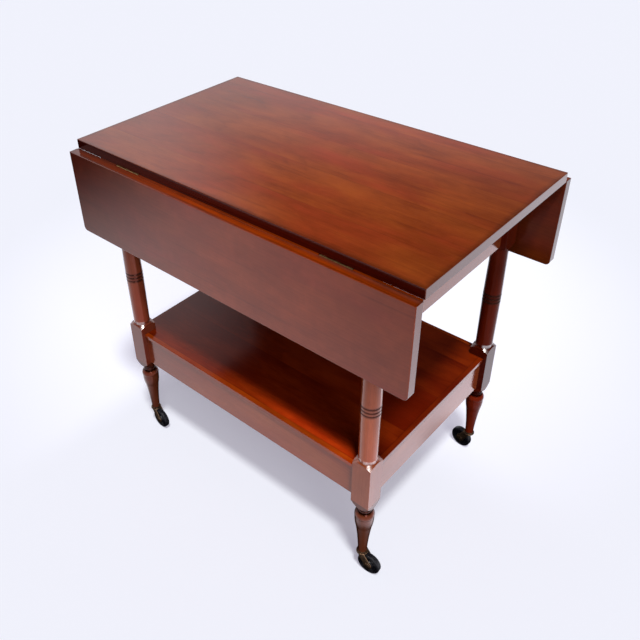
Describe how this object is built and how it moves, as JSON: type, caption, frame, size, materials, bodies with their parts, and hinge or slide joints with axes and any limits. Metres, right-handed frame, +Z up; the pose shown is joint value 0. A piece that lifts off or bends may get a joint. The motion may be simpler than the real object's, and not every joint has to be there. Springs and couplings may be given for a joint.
{
  "type": "drop leaf tea trolley",
  "caption": "Wooden tea trolley on swivel casters, with a hinged drop leaf along each long side, turned legs and a low shelf.",
  "frame": {"origin": "on the floor under the middle of the top", "axes": "+X along the length, -Y towards the front leaf, +Z up"},
  "size_m": [0.813, 0.5044, 0.743],
  "materials": {
    "board_wood": "red-brown cherry stain under satin lacquer, grain along X",
    "shelf_wood": "red-brown cherry stain under satin lacquer, grain along X",
    "leg_wood": "dark red cherry stain under satin lacquer, burnt rings",
    "rail_wood": "dark red cherry stain under satin lacquer",
    "block_wood": "plain planed wood, unfinished",
    "hinge_brass": "dull brass",
    "fork_brass": "dark antique brass, satin",
    "bright_steel": "bright plated steel",
    "screw_steel": "zinc plated",
    "wheel_rubber": "hard black rubber, satin, with concentric rings on the web"
  },
  "bodies": {
    "frame": {"back_apron": "rail_wood", "back_frame_screws": "hinge_brass", "back_left_hinge_top_plate": "hinge_brass", "back_left_leg": "leg_wood", "back_right_hinge_top_plate": "hinge_brass", "back_right_leg": "leg_wood", "back_shelf_rail": "rail_wood", "back_stay_catch": "hinge_brass", "caster_sockets": "bright_steel", "corner_blocks": "block_wood", "front_apron": "rail_wood", "front_frame_screws": "hinge_brass", "front_left_hinge_top_plate": "hinge_brass", "front_left_leg": "leg_wood", "front_right_hinge_top_plate": "hinge_brass", "front_right_leg": "leg_wood", "front_shelf_rail": "rail_wood", "front_stay_catch": "hinge_brass", "hinge_pins": "hinge_brass", "left_apron": "rail_wood", "left_shelf_rail": "rail_wood", "right_apron": "rail_wood", "right_shelf_rail": "rail_wood", "shelf_blocks": "block_wood", "shelf_board": "shelf_wood", "shelf_end_strips": "shelf_wood", "shelf_long_strips": "shelf_wood", "shelf_screws": "screw_steel", "top_board": "board_wood", "top_screws": "screw_steel"},
    "front_drop_leaf": {"front_leaf": "board_wood", "front_left_hinge_leaf_plate": "hinge_brass", "front_right_hinge_leaf_plate": "hinge_brass", "front_leaf_screws": "hinge_brass", "front_stay_bracket": "hinge_brass", "front_stay_pin": "hinge_brass"},
    "front_leaf_stay": {"front_stay": "hinge_brass"},
    "back_drop_leaf": {"back_leaf": "board_wood", "back_left_hinge_leaf_plate": "hinge_brass", "back_right_hinge_leaf_plate": "hinge_brass", "back_leaf_screws": "hinge_brass", "back_stay_bracket": "hinge_brass", "back_stay_pin": "hinge_brass"},
    "back_leaf_stay": {"back_stay": "hinge_brass"},
    "front_left_caster": {"front_left_caster_fork": "fork_brass", "front_left_caster_stem": "bright_steel", "front_left_caster_axle": "bright_steel"},
    "front_left_caster_wheel": {"front_left_wheel": "wheel_rubber"},
    "front_right_caster": {"front_right_caster_fork": "fork_brass", "front_right_caster_stem": "bright_steel", "front_right_caster_axle": "bright_steel"},
    "front_right_caster_wheel": {"front_right_wheel": "wheel_rubber"},
    "back_left_caster": {"back_left_caster_fork": "fork_brass", "back_left_caster_stem": "bright_steel", "back_left_caster_axle": "bright_steel"},
    "back_left_caster_wheel": {"back_left_wheel": "wheel_rubber"},
    "back_right_caster": {"back_right_caster_fork": "fork_brass", "back_right_caster_stem": "bright_steel", "back_right_caster_axle": "bright_steel"},
    "back_right_caster_wheel": {"back_right_wheel": "wheel_rubber"}
  },
  "joints": [
    {"name": "front_leaf_hinge", "type": "hinge", "parent": "frame", "child": "front_drop_leaf", "pos_m": [0, -0.2316, 0.7224], "axis": [-1, 0, 0], "range_deg": [0, 90]},
    {"name": "front_stay_pivot", "type": "hinge", "parent": "front_drop_leaf", "child": "front_leaf_stay", "pos_m": [0, -0.2277, 0.6674], "axis": [1, 0, 0], "range_deg": [0, 138.3]},
    {"name": "back_leaf_hinge", "type": "hinge", "parent": "frame", "child": "back_drop_leaf", "pos_m": [0, 0.2316, 0.7224], "axis": [1, 0, 0], "range_deg": [0, 90]},
    {"name": "back_stay_pivot", "type": "hinge", "parent": "back_drop_leaf", "child": "back_leaf_stay", "pos_m": [0, 0.2277, 0.6674], "axis": [-1, 0, 0], "range_deg": [0, 138.3]},
    {"name": "front_left_caster_swivel", "type": "hinge", "parent": "frame", "child": "front_left_caster", "pos_m": [-0.3145, -0.2095, 0.05], "axis": [0, 0, 1], "continuous": true},
    {"name": "front_left_wheel_spin", "type": "hinge", "parent": "front_left_caster", "child": "front_left_caster_wheel", "pos_m": [-0.29704, -0.21072, 0.0245], "axis": [0.0698, 0.9976, 0], "continuous": true},
    {"name": "front_right_caster_swivel", "type": "hinge", "parent": "frame", "child": "front_right_caster", "pos_m": [0.3145, -0.2095, 0.05], "axis": [0, 0, 1], "continuous": true},
    {"name": "front_right_wheel_spin", "type": "hinge", "parent": "front_right_caster", "child": "front_right_caster_wheel", "pos_m": [0.33193, -0.20797, 0.0245], "axis": [-0.0872, 0.9962, 0], "continuous": true},
    {"name": "back_left_caster_swivel", "type": "hinge", "parent": "frame", "child": "back_left_caster", "pos_m": [-0.3145, 0.2095, 0.05], "axis": [0, 0, 1], "continuous": true},
    {"name": "back_left_wheel_spin", "type": "hinge", "parent": "back_left_caster", "child": "back_left_caster_wheel", "pos_m": [-0.29752, 0.21373, 0.0245], "axis": [-0.2419, 0.9703, 0], "continuous": true},
    {"name": "back_right_caster_swivel", "type": "hinge", "parent": "frame", "child": "back_right_caster", "pos_m": [0.3145, 0.2095, 0.05], "axis": [0, 0, 1], "continuous": true},
    {"name": "back_right_wheel_spin", "type": "hinge", "parent": "back_right_caster", "child": "back_right_caster_wheel", "pos_m": [0.29713, 0.21163, 0.0245], "axis": [-0.1219, -0.9925, 0], "continuous": true}
  ],
  "couplings": [
    {"joint": "front_stay_pivot", "follows": "front_leaf_hinge", "ratio": 1.5359},
    {"joint": "back_stay_pivot", "follows": "back_leaf_hinge", "ratio": 1.5359}
  ]
}
